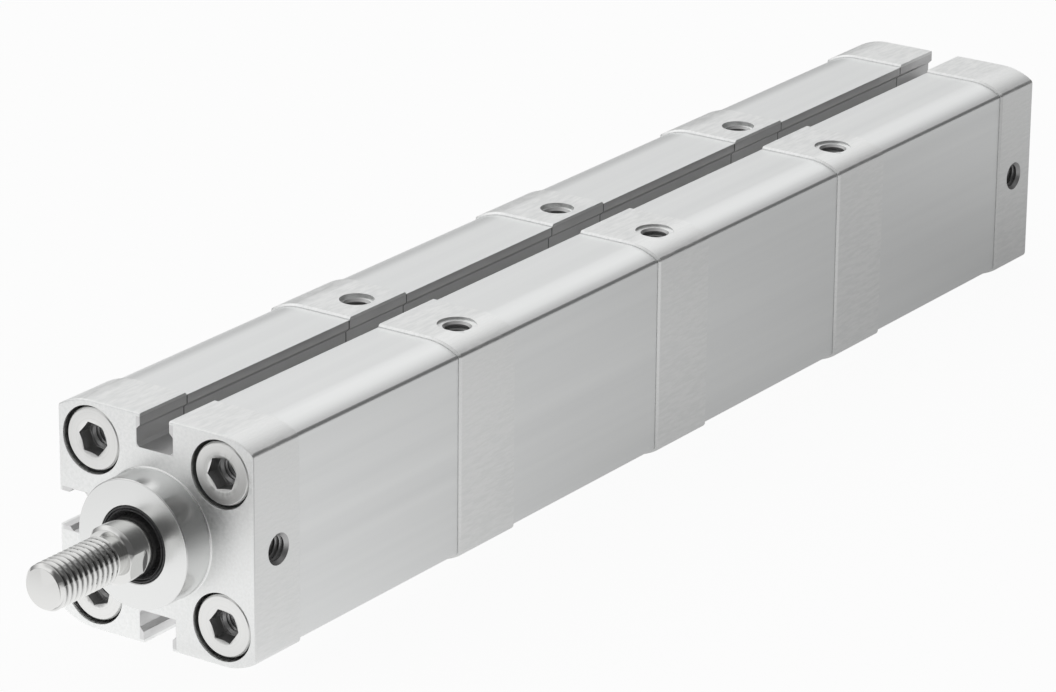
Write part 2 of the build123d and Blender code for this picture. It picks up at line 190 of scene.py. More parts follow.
# Painted light beside and behind the end cap.
light_behind = ease(tree, place["X"], -330 * mm, -235 * mm, end_light_gain, 1.0)
on_right = math_node(tree, "GREATER_THAN", place["Y"], 0.0)
for share in (
    mixed(tree, on_right, 1.0, shadow_beside, "FLOAT"), ease(tree, nearer, 8 * mm, 90 * mm, 1.0, near_tone),
    mixed(tree, on_right, 1.0, light_behind, "FLOAT"),
):
    reflected = math_node(tree, "MULTIPLY", reflected, share)
link(tree, reflected, mirrored.inputs["Strength"])
rays = tree.nodes.new("ShaderNodeLightPath")
glancing = math_node(
    tree, "MAXIMUM", rays.outputs["Is Glossy Ray"], rays.outputs["Is Transmission Ray"]
)
seen_share = math_node(tree, "MULTIPLY", rays.outputs["Is Camera Ray"], 1 - table_shadow_share)
as_seen, as_mirrored = (tree.nodes.new("ShaderNodeMixShader") for _ in range(2))
for source, target in (
    (seen_share, as_seen.inputs[0]), (matte.outputs[0], as_seen.inputs[1]),
    (backdrop.outputs[0], as_seen.inputs[2]), (glancing, as_mirrored.inputs[0]),
    (as_seen.outputs[0], as_mirrored.inputs[1]), (mirrored.outputs[0], as_mirrored.inputs[2]),
):
    link(tree, source, target)
link(tree, as_mirrored.outputs[0], tree.nodes.new("ShaderNodeOutputMaterial").inputs[0])
table.data.materials.append(table_paint)

high_wall_tone, low_wall_tone, overhead_share = 1.1, 0.32, 0.70
dark_wall_tone, ceiling_tone = 0.13, 0.55

walls = bpy.data.worlds.new("walls")
walls.use_nodes = True
bpy.context.scene.world = walls
tree = walls.node_tree
tree.nodes.clear()
direction = tree.nodes.new("ShaderNodeSeparateXYZ")
link(tree, tree.nodes.new("ShaderNodeTexCoord").outputs["Generated"], direction.inputs[0])
to_the_right = ease(tree, direction.outputs["Y"], -0.16, 0.14)
upwards = ease(tree, direction.outputs["Z"], 0.06, 0.58, low_wall_tone, high_wall_tone)
overhead = ease(tree, direction.outputs["Z"], 0.64, 0.84, 1.0, overhead_share)
left_tone = math_node(tree, "MULTIPLY", upwards, overhead)
right_tone = ease(tree, direction.outputs["Z"], 0.62, 0.9, dark_wall_tone, ceiling_tone)
tone = mixed(tree, to_the_right, left_tone, right_tone, "FLOAT")
rays = tree.nodes.new("ShaderNodeLightPath")
tone = math_node(tree, "MAXIMUM", tone, rays.outputs["Is Camera Ray"])
light = add_node(tree, "ShaderNodeBackground", Color=(1, 1, 1, 1))
link(tree, tone, light.inputs["Strength"])
link(tree, light.outputs[0], tree.nodes.new("ShaderNodeOutputWorld").inputs[0])

lamp_data = bpy.data.lights.new("soft_lamp", "AREA")
lamp_data.shape, lamp_data.size, lamp_data.energy = "DISK", 0.9, 0.4
lamp = bpy.data.objects.new("soft_lamp", lamp_data)
lamp.location = (-0.15, -0.75, 1.05)
lamp_aim = Vector((-0.12, 0, 0))
lamp.rotation_euler = (lamp_aim - lamp.location).to_track_quat("-Z", "Y").to_euler()
bpy.context.scene.collection.objects.link(lamp)


# The four barrels: lengths of one aluminium extrusion with wide corner arcs and a T-slot on three
# sides, sawn to length, honed in the bore and clear anodised. Each holds one piston.
barrel_boxes = [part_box(f"barrel_{number}") for number in (1, 2, 3, 4)]
body_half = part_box("module_1")[1].z
barrel_half = barrel_boxes[0][1].z
arc_centre_y, arc_centre_z = 13.0 * mm, body_half - 12.0 * mm
slot_mouth, slot_cavity = 2.95 * mm, 3.65 * mm
slot_lip_z, slot_flare_z = body_half - 2.0 * mm, body_half - 2.7 * mm
slot_floor_z, slot_floor_chamfer = 14.05 * mm, 0.5 * mm
corner_bore_radius, main_bore_radius = 3.6 * mm, 12.5 * mm
corner_offset = 13.0 * mm
corner_places = [
    (y, z) for z in (corner_offset, -corner_offset) for y in (-corner_offset, corner_offset)
]
touching = 0.001 * mm


def deselect():
    """Leaves nothing selected."""
    bpy.ops.object.select_all(action="DESELECT")


def activate(piece):
    """Selects one object alone."""
    deselect()
    piece.select_set(True)
    bpy.context.view_layer.objects.active = piece


def start_point(name, point):
    """A new piece of one vertex in edit mode, ready to be drawn on from."""
    deselect()
    bpy.ops.mesh.primitive_plane_add(size=mm)
    piece = bpy.context.object
    piece.name = name
    bpy.ops.object.mode_set(mode="EDIT")
    bpy.ops.mesh.select_mode(type="VERT")
    bpy.ops.mesh.select_all(action="SELECT")
    bpy.ops.mesh.merge(type="CENTER")
    bpy.ops.transform.translate(value=point)
    return piece


def draw_lines(points):
    """Draws straight lines through the points. The first is where the pen already is."""
    for here, there in zip(points, points[1:]):
        bpy.ops.mesh.extrude_vertices_move(TRANSFORM_OT_translate={"value": there - here})


def section_slot(quarter_turns):
    """The corners of one T-slot, from mouth to mouth, turned to its side of the section."""
    half_slot = [
        (slot_mouth, slot_lip_z), (slot_cavity, slot_flare_z),
        (slot_cavity, slot_floor_z + slot_floor_chamfer),
        (slot_cavity - slot_floor_chamfer, slot_floor_z),
    ]
    corners = [(-y, z) for y, z in half_slot] + half_slot[::-1]
    for _ in range(quarter_turns):
        corners = [(-z, y) for y, z in corners]
    return corners


def draw_section(name, x, half):
    """The body's outline with its three slots, as one flat face at x."""
    radius = half - arc_centre_z
    crease_angle = math.acos((half - arc_centre_y) / radius)
    crease_z = arc_centre_z + radius * math.sin(crease_angle)
    sweep = math.pi / 2 - crease_angle
    arc_steps = 14

    def at(corners):
        return [Vector((x, y, z)) for y, z in corners]

    def arc(centre_y, centre_z):
        bpy.ops.mesh.spin(
            steps=arc_steps, angle=sweep, center=(x, centre_y, centre_z), axis=(1, 0, 0)
        )

    piece = start_point(name, (x, slot_mouth, half))
    draw_lines(at([(slot_mouth, half), (arc_centre_y, half)]))
    arc(arc_centre_y, arc_centre_z)
    draw_lines(at([(half, crease_z), (half, -crease_z)]))
    arc(arc_centre_y, -arc_centre_z)
    draw_lines(at([
        (arc_centre_y, -half), (slot_mouth, -half), *section_slot(2), (-slot_mouth, -half),
        (-arc_centre_y, -half),
    ]))
    arc(-arc_centre_y, -arc_centre_z)
    draw_lines(at([
        (-half, -crease_z), (-half, -slot_mouth), *section_slot(1), (-half, slot_mouth),
        (-half, crease_z),
    ]))
    arc(-arc_centre_y, arc_centre_z)
    draw_lines(at([
        (-arc_centre_y, half), (-slot_mouth, half), *section_slot(0), (slot_mouth, half),
    ]))
    bpy.ops.mesh.select_all(action="SELECT")
    bpy.ops.mesh.remove_doubles(threshold=touching)
    bpy.ops.mesh.edge_face_add()
    return piece


def extrude_section(name, x_rear, x_front, half):
    """A length of the body section, left in edit mode."""
    piece = draw_section(name, x_rear, half)
    bpy.ops.mesh.extrude_region_move(
        TRANSFORM_OT_translate={"value": (x_front - x_rear, 0, 0)}
    )
    bpy.ops.mesh.select_all(action="SELECT")
    bpy.ops.mesh.normals_make_consistent(inside=False)
    return piece


def turn_piece(name, outline, steps=96, axis="X", centre=(0, 0, 0)):
    """A piece turned about an axis from its outline of (place along the axis, radius) points. An
    outline that begins and ends on the axis gives a solid, and a closed one gives a ring."""
    along = Vector([float(letter == axis) for letter in "XYZ"])
    outwards = Vector([float(letter == ("Y" if axis == "Z" else "Z")) for letter in "XYZ"])
    points = [Vector(centre) + place * along + radius * outwards for place, radius in outline]
    piece = start_point(name, points[0])
    draw_lines(points)
    bpy.ops.mesh.select_all(action="SELECT")
    bpy.ops.mesh.spin(steps=steps, angle=2 * math.pi, center=centre, axis=along)
    bpy.ops.mesh.select_all(action="SELECT")
    bpy.ops.mesh.remove_doubles(threshold=touching)
    bpy.ops.mesh.normals_make_consistent(inside=False)
    bpy.ops.object.mode_set(mode="OBJECT")
    return piece


def move_piece(piece, x=0.0, y=0.0, z=0.0):
    """Moves a piece and leaves its object at the origin."""
    activate(piece)
    bpy.ops.transform.translate(value=(x, y, z))
    bpy.ops.object.transform_apply(location=True, rotation=True, scale=True)
    return piece


def drill(name, low, high, radius, axis="X", centre=(0, 0, 0), steps=48):
    """A round tool along an axis."""
    return turn_piece(name, [(low, 0), (low, radius), (high, radius), (high, 0)], steps, axis, centre)


def boolean(piece, tool, operation="DIFFERENCE"):
    """Cuts a tool out of a piece, or welds it on, and throws the tool away."""
    activate(piece)
    bpy.ops.object.modifier_add(type="BOOLEAN")
    modifier = piece.modifiers[-1]
    modifier.operation, modifier.object, modifier.solver = operation, tool, "EXACT"
    modifier.material_mode = "TRANSFER"
    bpy.ops.object.modifier_apply(modifier=modifier.name)
    bpy.data.objects.remove(tool)


def break_edges(piece, width, segments=2, angle=40):
    """Rounds every edge that is sharper than the angle a little."""
    activate(piece)
    bpy.ops.object.modifier_add(type="BEVEL")
    modifier = piece.modifiers[-1]
    modifier.width, modifier.segments = width, segments
    modifier.limit_method, modifier.angle_limit = "ANGLE", math.radians(angle)
    modifier.use_clamp_overlap, modifier.miter_outer = True, "MITER_ARC"
    bpy.ops.object.modifier_apply(modifier=modifier.name)


def shade(piece, angle=30):
    """Smooth shading with sharp corners kept, weighted so that flat faces stay flat."""
    activate(piece)
    bpy.ops.object.shade_smooth_by_angle(angle=math.radians(angle))
    bpy.ops.object.modifier_add(type="WEIGHTED_NORMAL")
    modifier = piece.modifiers[-1]
    modifier.keep_sharp, modifier.weight = True, 90
    bpy.ops.object.modifier_apply(modifier=modifier.name)


def copy_along_x(piece, name, distance):
    """A copy with its own mesh, moved along the cylinder."""
    activate(piece)
    bpy.ops.object.duplicate()
    copy = bpy.context.object
    copy.name = name
    return move_piece(copy, x=distance)


def edge_picker(piece, test):
    """Selects, in edit mode, the edges that pass a test of their middle and direction."""
    bpy.ops.mesh.select_mode(type="EDGE")
    bpy.ops.mesh.select_all(action="DESELECT")
    work = bmesh.from_edit_mesh(piece.data)
    for edge in work.edges:
        ends = [vertex.co for vertex in edge.verts]
        edge.select_set(test((ends[0] + ends[1]) / 2, (ends[1] - ends[0]).normalized()))
    bmesh.update_edit_mesh(piece.data)


crease_softness = 0.42 * mm
saw_edge = 0.16 * mm

first_low, first_high = barrel_boxes[0]
first_barrel = extrude_section("barrel_1_body", first_low.x, first_high.x, barrel_half)


def is_crease(middle, along, half):
    """True for the four long edges where a flat side meets a corner arc."""
    return abs(along.x) > 0.9 and abs(abs(middle.y) - half) < touching and abs(middle.z) > arc_centre_z


edge_picker(first_barrel, lambda middle, along: is_crease(middle, along, barrel_half))
bpy.ops.mesh.bevel(offset=crease_softness, segments=4, affect="EDGES")
bpy.ops.object.mode_set(mode="OBJECT")
boolean(first_barrel, drill("hone", first_low.x - mm, first_high.x + mm, main_bore_radius, steps=128))
for y, z in corner_places:
    corner_drill = drill(
        "corner_drill", first_low.x - mm, first_high.x + mm, corner_bore_radius, centre=(0, y, z)
    )
    boolean(first_barrel, corner_drill)
break_edges(first_barrel, saw_edge)
shade(first_barrel)

barrels = [first_barrel]
for number in (2, 3, 4):
    shift = barrel_boxes[number - 1][1].x - first_high.x
    barrels.append(copy_along_x(first_barrel, f"barrel_{number}_body", shift))


def group_of(name, inputs, outputs):
    """An empty node group with plain number inputs, and where its inputs come out."""
    group = bpy.data.node_groups.new(name, "ShaderNodeTree")
    for socket_name, value in inputs.items():
        socket = group.interface.new_socket(socket_name, in_out="INPUT", socket_type="NodeSocketFloat")
        socket.default_value = value
    for socket_name in outputs:
        group.interface.new_socket(socket_name, in_out="OUTPUT", socket_type="NodeSocketFloat")
    return group, group.nodes.new("NodeGroupInput"), group.nodes.new("NodeGroupOutput")


def stretched_noise(tree, scale, detail, stretch, target):
    """Noise over the object's own coordinates, drawn out along some of its axes."""
    mapping = add_node(tree, "ShaderNodeMapping", Scale=stretch)
    link(tree, tree.nodes.new("ShaderNodeTexCoord").outputs["Object"], mapping.inputs["Vector"])
    noise = add_node(tree, "ShaderNodeTexNoise", Detail=detail, Roughness=0.6)
    link(tree, mapping.outputs[0], noise.inputs["Vector"])
    link(tree, scale, noise.inputs["Scale"])
    link(tree, noise.outputs["Fac"], target)


# Long fine lines that the extrusion die and the grinding leave along X.
lines_group, group_in, group_out = group_of(
    "long_lines", {"Line Scale": 2600.0, "Band Scale": 260.0}, ("Lines", "Bands")
)
along_x = (0.012, 1.0, 1.0)
for scale, detail, target in (("Line Scale", 3.0, "Lines"), ("Band Scale", 2.0, "Bands")):
    stretched_noise(
        lines_group, group_in.outputs[scale], detail, along_x, group_out.inputs[target]
    )


def use_group(tree, group, **values):
    """Places a node group in a material with its own values."""
    node = tree.nodes.new("ShaderNodeGroup")
    node.node_tree = group
    for name, value in values.items():
        node.inputs[name.replace("_", " ")].default_value = value
    return node


def metal(name, colour, roughness):
    """A bare metal: its node tree and shader, ready for what its surface shows."""
    material = bpy.data.materials.new(name)
    material.use_nodes = True
    tree = material.node_tree
    shader = tree.nodes["Principled BSDF"]
    shader.inputs["Base Color"].default_value = (*colour, 1)
    shader.inputs["Metallic"].default_value = 1.0
    shader.inputs["Roughness"].default_value = roughness
    return material, tree, shader


def vary_roughness(tree, shader, mask, low, high):
    """Runs the roughness between two values with a mask."""
    link(tree, mixed(tree, mask, low, high, "FLOAT"), shader.inputs["Roughness"])


def raise_surface(tree, shader, height, depth, strength=1.0):
    """Small relief of the given depth."""
    bump = add_node(tree, "ShaderNodeBump", Strength=strength, Distance=depth)
    link(tree, height, bump.inputs["Height"])
    link(tree, bump.outputs[0], shader.inputs["Normal"])


# Where painted shade darkens the T-slots' walls, and painted shadow the joints between the pieces in
# them.
stage_pitch = barrel_boxes[0][0].x - barrel_boxes[1][0].x
front_shadow_band, rear_shadow_band = 0.22 * mm, 0.30 * mm
wall_margin, mouth_margin, floor_margin = 0.1 * mm, 0.12 * mm, 0.05 * mm
slot_shade_group, _, group_out = group_of("slot_painted_shade", {}, ("Inside", "Joint Shadow"))
place = object_place(slot_shade_group)
across, upright = (math_node(slot_shade_group, "ABSOLUTE", place[letter]) for letter in "YZ")
narrow = math_node(slot_shade_group, "MINIMUM", across, upright)
leftwards = math_node(slot_shade_group, "MULTIPLY", place["Y"], -1.0)
reach = math_node(slot_shade_group, "MAXIMUM", leftwards, upright)
inside = math_node(slot_shade_group, "LESS_THAN", narrow, slot_cavity + wall_margin)
for operation, limit in (
    ("LESS_THAN", barrel_half - mouth_margin), ("GREATER_THAN", slot_floor_z - floor_margin)
):
    inside = math_node(
        slot_shade_group, "MULTIPLY", inside, math_node(slot_shade_group, operation, reach, limit)
    )
link(slot_shade_group, inside, group_out.inputs["Inside"])
# Painted shadow in the slots where the barrels meet the modules and caps.
from_front = math_node(slot_shade_group, "SUBTRACT", first_high.x, place["X"])
from_front = math_node(slot_shade_group, "WRAP", from_front, 0.0, stage_pitch)
joint_shadow = math_node(
    slot_shade_group, "ADD", math_node(slot_shade_group, "LESS_THAN", from_front, front_shadow_band),
    math_node(slot_shade_group, "GREATER_THAN", from_front, first_high.x - first_low.x - rear_shadow_band),
)
joint_shadow = math_node(slot_shade_group, "MULTIPLY", inside, joint_shadow)
link(slot_shade_group, joint_shadow, group_out.inputs["Joint Shadow"])

anodised, tree, shader = metal("satin_anodised_extrusion", (0.86, 0.87, 0.87), 0.36)
long_lines = use_group(tree, lines_group)
slot_shade = use_group(tree, slot_shade_group)
paint = mixed(tree, long_lines.outputs["Bands"], (0.80, 0.81, 0.81), (0.90, 0.91, 0.905))
# Painted shade on the T-slot walls.
paint = mixed(tree, slot_shade.outputs["Inside"], paint, (0.70, 0.70, 0.70))
# Painted shadow at the joints in the slots.
paint = mixed(tree, slot_shade.outputs["Joint Shadow"], paint, (0.20, 0.20, 0.20))
link(tree, paint, shader.inputs["Base Color"])
vary_roughness(tree, shader, long_lines.outputs["Lines"], 0.32, 0.42)
raise_surface(tree, shader, long_lines.outputs["Lines"], 0.004 * mm, 0.5)

for number, piece in enumerate(barrels, start=1):
    piece.data.materials.clear()
    piece.data.materials.append(anodised)
    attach(piece, "housing")
    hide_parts(f"barrel_{number}")


# The three modules between the barrels: milled aluminium blocks of the same section, a little
# prouder, with a spigot and O-ring groove at both ends. On top each has a counterbored vent hole and
# a spot-faced side hole, both with M5 threads.
rim_chamfer = 0.35 * mm
spigot_length, spigot_radius = 4.0 * mm, 12.4 * mm
groove_radius, groove_half_width = 11.1 * mm, 0.85 * mm
rod_room_radius, bushing_radius, bushing_length = 5.1 * mm, 6.0 * mm, 13.0 * mm
module_seal_radius, module_seal_length, module_seal_setback = 7.2 * mm, 3.0 * mm, 2.2 * mm
tie_rod_hole_radius = 2.5 * mm
tap_drill_radius, thread_radius, fine_pitch = 2.1 * mm, 2.5 * mm, 0.8 * mm
vent_y, vent_counterbore_radius, vent_counterbore_depth = -7.4 * mm, 3.0 * mm, 0.8 * mm
vent_thread_depth, vent_duct_depth, duct_radius = 4.5 * mm, 13.0 * mm, 1.2 * mm
side_hole_y, side_spot_radius, side_spot_depth = 13.3 * mm, 3.4 * mm, 0.45 * mm
side_hole_floor_z, side_drill_radius, side_drill_length = 15.9 * mm, 1.8 * mm, 0.2 * mm
joint_shadow_half_width, collar_margin = 0.06 * mm, 0.05 * mm
fine_marks, coarse_marks = 0.004 * mm, 0.008 * mm
milled_edge = 0.06 * mm
beyond = 1.0 * mm
cap_low, cap_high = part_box("bearing_cap")
end_low, end_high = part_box("end_cap")

# The places of the joints, where painted shadow lies in the gaps between the pieces.
shadow_joint_places = [cap_low.x, end_high.x]
for number in (1, 2, 3):
    shadow_joint_places.extend(corner.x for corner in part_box(f"module_{number}"))

mottle_group, group_in, group_out = group_of(
    "milling_marks", {"Streak Scale": 2600.0, "Blotch Scale": 1500.0}, ("Streaks", "Blotches")
)
for scale, detail, share_of_x, target in (
    ("Streak Scale", 4.0, 0.08, "Streaks"), ("Blotch Scale", 3.0, 0.22, "Blotches")
):
    stretched_noise(
        mottle_group, group_in.outputs[scale], detail, (share_of_x, 1.0, 1.0),
        group_out.inputs[target],
    )


def milled_aluminium(name, dull, has_collar=False):
    """Milled faces of a block, with painted shade in its T-slots and painted shadow at its joints, and
    its smoother turned collar.
    """
    material, tree, shader = metal(name, (0.88, 0.885, 0.88), dull)
    marks = use_group(tree, mottle_group)
    slot_shade = use_group(tree, slot_shade_group)
    blotches = ease(tree, marks.outputs["Blotches"], 0.3, 0.7)
    paint = mixed(tree, blotches, (0.82, 0.83, 0.825), (0.92, 0.925, 0.92))
    # Painted shade on the T-slot walls.
    paint = mixed(tree, slot_shade.outputs["Inside"], paint, (0.72, 0.72, 0.72))
    place = object_place(tree)
    # Painted shadow in the joints between the pieces.
    for x in shadow_joint_places:
        off = math_node(tree, "ABSOLUTE", math_node(tree, "SUBTRACT", place["X"], x))
        in_joint_shadow = math_node(tree, "LESS_THAN", off, joint_shadow_half_width)
        paint = mixed(tree, in_joint_shadow, paint, (0.16, 0.16, 0.16))
    gloss = mixed(tree, blotches, dull - 0.05, dull + 0.05, "FLOAT")
    if has_collar:
        on_collar = math_node(tree, "GREATER_THAN", place["X"], collar_margin)
        paint = mixed(tree, on_collar, paint, (0.765, 0.77, 0.765))
        gloss = mixed(tree, on_collar, gloss, 0.27, "FLOAT")
    link(tree, paint, shader.inputs["Base Color"])
    link(tree, gloss, shader.inputs["Roughness"])
    depth = fine_marks if has_collar else coarse_marks
    raise_surface(tree, shader, marks.outputs["Streaks"], depth, 0.5)
    return material


milled = milled_aluminium("milled_module", 0.38)
milled_front = milled_aluminium("milled_bearing_cap", 0.42, has_collar=True)
milled_rear = milled_aluminium("milled_end_cap", 0.42)

# The faces inside holes and sockets are painted darker, as painted shade.
bore_shade, tree, shader = metal("bore_with_painted_shade", (0.50, 0.50, 0.50), 0.4)
marks = use_group(tree, mottle_group)
vary_roughness(tree, shader, marks.outputs["Blotches"], 0.34, 0.48)


def is_rim(middle, x, half):
    """True for the outer edges of the end face at x, without those in its slots."""
    on_face = abs(middle.x - x) < touching
    on_flat = max(abs(middle.y), abs(middle.z)) > half - 0.3 * mm
    on_arc = abs(middle.y) > arc_centre_y and abs(middle.z) > arc_centre_z
    return on_face and (on_flat or on_arc)


def milled_block(name, rear, front, rear_chamfer, front_chamfer, finish):
    """A block of the full section with its creases softened and its two rims chamfered."""
    block = extrude_section(name, rear, front, body_half)
    block.data.materials.append(finish)
    edge_picker(block, lambda middle, along: is_crease(middle, along, body_half))
    bpy.ops.mesh.bevel(offset=crease_softness, segments=4, affect="EDGES")
    for x, width in ((rear, rear_chamfer), (front, front_chamfer)):
        edge_picker(block, lambda middle, along: is_rim(middle, x, body_half))
        bpy.ops.mesh.bevel(offset=width, segments=1, affect="EDGES")
    bpy.ops.object.mode_set(mode="OBJECT")
    return block


def add_spigot(block, face, side):
    """Welds on the plug that centres a barrel. It points from the face at x towards side."""
    middle = face + side * spigot_length / 2
    outline = [
        (face - side * beyond, 0), (face - side * beyond, spigot_radius),
        (middle - side * groove_half_width, spigot_radius),
        (middle - side * groove_half_width, groove_radius),
        (middle + side * groove_half_width, groove_radius),
        (middle + side * groove_half_width, spigot_radius),
        (face + side * spigot_length, spigot_radius), (face + side * spigot_length, 0),
    ]
    boolean(block, turn_piece("spigot", outline), "UNION")


def cut_threaded_hole(block, bottom, floor, mouth, drill_radius, axis, centre, mouth_radius=None):
    """Cuts a hole with an M5 thread from floor to mouth, and a narrower drill below to bottom. The
    thread is cut as rings. The inside gets a darker colour, painted shade of the hole."""
    side = math.copysign(1.0, mouth - floor)
    top_radius = mouth_radius or thread_radius
    thread_top = mouth - side * (top_radius - tap_drill_radius)
    turns = int(abs(thread_top - floor) / fine_pitch)
    step = (thread_top - floor) / turns
    rings = [
        (floor + (turn + share) * step, radius) for turn in range(turns)
        for share, radius in (
            (0.0, tap_drill_radius), (0.33, thread_radius), (0.45, thread_radius),
            (0.78, tap_drill_radius),
        )
    ]
    tool = turn_piece("tap", [
        (bottom, 0), (bottom, drill_radius), (floor, drill_radius), *rings,
        (thread_top, tap_drill_radius), (mouth + side * 0.3 * mm, top_radius + 0.3 * mm),
        (mouth + side * 0.3 * mm, 0),
    ], 48, axis, centre)
    tool.data.materials.append(bore_shade)
    boolean(block, tool)


module_ends = [(rear[1].x, front[0].x) for front, rear in zip(barrel_boxes, barrel_boxes[1:])]
rear, front = module_ends[0]
middle_x = (rear + front) / 2
first_module = milled_block("module_1_body", rear, front, rim_chamfer, rim_chamfer, milled)
add_spigot(first_module, front, 1)
add_spigot(first_module, rear, -1)
seal_front = front + spigot_length - module_seal_setback
boolean(first_module, turn_piece("rod_bore_tool", [
    (rear - spigot_length - beyond, 0), (rear - spigot_length - beyond, bushing_radius),
    (rear - spigot_length + bushing_length, bushing_radius),
    (rear - spigot_length + bushing_length, rod_room_radius),
    (seal_front - module_seal_length, rod_room_radius),
    (seal_front - module_seal_length, module_seal_radius), (seal_front, module_seal_radius),
    (seal_front, rod_room_radius), (front + spigot_length + beyond, rod_room_radius),
    (front + spigot_length + beyond, 0),
]))
for y, z in corner_places:
    boolean(first_module, drill(
        "tie_rod_drill", rear - beyond, front + beyond, tie_rod_hole_radius, centre=(0, y, z)
    ))
boolean(first_module, drill(
    "vent_counterbore", body_half - vent_counterbore_depth, body_half + beyond,
    vent_counterbore_radius, "Z", (middle_x, vent_y, 0), 64,
))
boolean(first_module, drill(
    "side_spotface", body_half - side_spot_depth, body_half + beyond, side_spot_radius, "Z",
    (middle_x, side_hole_y, 0), 64,
))
break_edges(first_module, milled_edge)
vent_mouth, side_mouth = body_half - vent_counterbore_depth, body_half - side_spot_depth
cut_threaded_hole(
    first_module, body_half - vent_duct_depth, vent_mouth - vent_thread_depth, vent_mouth,
    duct_radius, "Z", (middle_x, vent_y, 0),
)
cut_threaded_hole(
    first_module, side_hole_floor_z, side_hole_floor_z + side_drill_length, side_mouth,
    side_drill_radius, "Z", (middle_x, side_hole_y, 0),
)
shade(first_module)

modules = [first_module]
for number in (2, 3):
    shift = module_ends[number - 1][1] - front
    modules.append(copy_along_x(first_module, f"module_{number}_body", shift))

for number, piece in enumerate(modules, start=1):
    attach(piece, "housing")
    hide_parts(f"module_{number}")


# The bearing cap in front: a milled block with a turned centring collar, which the rod passes
# through. Four counterbores hold the flange screws, and the flat side has an M5 port.
cap_rear = barrel_boxes[0][1].x
collar_length, collar_radius = cap_high.x, 11.0 * mm
collar_fillet, collar_chamfer, edge_break = 0.4 * mm, 0.15 * mm, 0.2 * mm
counterbore_radius, counterbore_depth = 5.8 * mm, 5.95 * mm
screw_hole_depth = 14 * mm
wiper_seat_radius, wiper_seat_floor, wiper_seat_flare = 6.5 * mm, -0.8 * mm, 0.3 * mm
port_setback, port_depth, port_duct_radius = 6.2 * mm, 6.0 * mm, 1.7 * mm
port_duct_end_y, port_mouth_radius = 9.4 * mm, 2.7 * mm

cap = milled_block("bearing_cap_body", cap_rear, 0.0, rim_chamfer, edge_break, milled_front)
fillet = [
    (collar_fillet * (1 - math.cos(a)), collar_radius + collar_fillet * (1 - math.sin(a)))
    for a in (math.pi / 2 * step / 5 for step in range(6))
]
boolean(cap, turn_piece("collar", [
    (-collar_length, 0), (-collar_length, collar_radius + collar_fillet),
    (-0.02 * mm, collar_radius + collar_fillet), *fillet[1:],
    (collar_length - collar_chamfer, collar_radius), (collar_length, collar_radius - collar_chamfer),
    (collar_length, 0),
], 160), "UNION")
add_spigot(cap, cap_rear, -1)
boolean(cap, turn_piece("rod_bore_tool", [
    (cap_rear - spigot_length - beyond, 0), (cap_rear - spigot_length - beyond, bushing_radius),
    (wiper_seat_floor, bushing_radius), (wiper_seat_floor, wiper_seat_radius),
    (collar_length - collar_chamfer, wiper_seat_radius),
    (collar_length + collar_chamfer, wiper_seat_radius + wiper_seat_flare),
    (collar_length + beyond, wiper_seat_radius + wiper_seat_flare), (collar_length + beyond, 0),
], 128))


def cut_screw_seats(block, face, side):
    """Counterbores and shank holes for four flange screws in the outer face at x."""
    for y, z in corner_places:
        boolean(block, turn_piece("seat_tool", [
            (face + side * beyond, 0), (face + side * beyond, counterbore_radius),
            (face - side * counterbore_depth, counterbore_radius),
            (face - side * counterbore_depth, corner_bore_radius),
            (face - side * screw_hole_depth, corner_bore_radius), (face - side * screw_hole_depth, 0),
        ], 96, "X", (0, y, z)))


def cut_port(block, x, duct_end_y):
    """The M5 port in the flat side, with the narrower drill behind it."""
    cut_threaded_hole(
        block, duct_end_y, body_half - port_depth, body_half, port_duct_radius, "Y", (x, 0, 0),
        port_mouth_radius,
    )


cut_screw_seats(cap, 0.0, 1)
break_edges(cap, milled_edge)
cut_port(cap, -port_setback, port_duct_end_y)
shade(cap)
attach(cap, "housing")
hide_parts("bearing_cap")


# The end cap behind: the same block without a collar. It has a centring bore outside, a pocket for
# the piston nut inside, and the second port.
end_rear, end_front = end_low.x, barrel_boxes[3][0].x
pocket_radius, pocket_floor_x = 8.2 * mm, end_rear + 10.5 * mm
centring_radius, centring_depth = 4.5 * mm, 2.1 * mm
end_duct_y = 6.4 * mm

end_cap = milled_block("end_cap_body", end_rear, end_front, edge_break, rim_chamfer, milled_rear)
add_spigot(end_cap, end_front, 1)
boolean(end_cap, drill(
    "pocket_tool", pocket_floor_x, end_high.x + beyond, pocket_radius, steps=96
))
boolean(end_cap, drill(
    "centring_tool", end_rear - beyond, end_rear + centring_depth, centring_radius, steps=96
))
cut_screw_seats(end_cap, end_rear, -1)
break_edges(end_cap, milled_edge)
cut_port(end_cap, end_rear + port_setback, end_duct_y)
shade(end_cap)
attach(end_cap, "housing")
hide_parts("end_cap")


# The eight flange screws, four in each cap: turned steel sleeves with a broached hexagon socket in
# the head. Their inner M5 thread takes the user's screw, and the tie rod from behind.
head_radius, head_length, head_recess, head_chamfer = 5.35 * mm, 5.5 * mm, 0.45 * mm, 0.3 * mm
shank_radius, shank_length = 3.45 * mm, 9.0 * mm
hexagon_radius, hexagon_depth = 2.55 * mm / math.cos(math.radians(30)), 3.0 * mm
mouth_radius, mouth_depth, mouth_floor_radius = 3.1 * mm, 0.25 * mm, 2.5 * mm
user_thread_length, tie_rod_bore_radius = 6.0 * mm, 2.3 * mm
hexagon_turns = [math.radians(a) for a in (50.0, 10.5, 19.0, 53.0)]
sharp_edge = 0.04 * mm

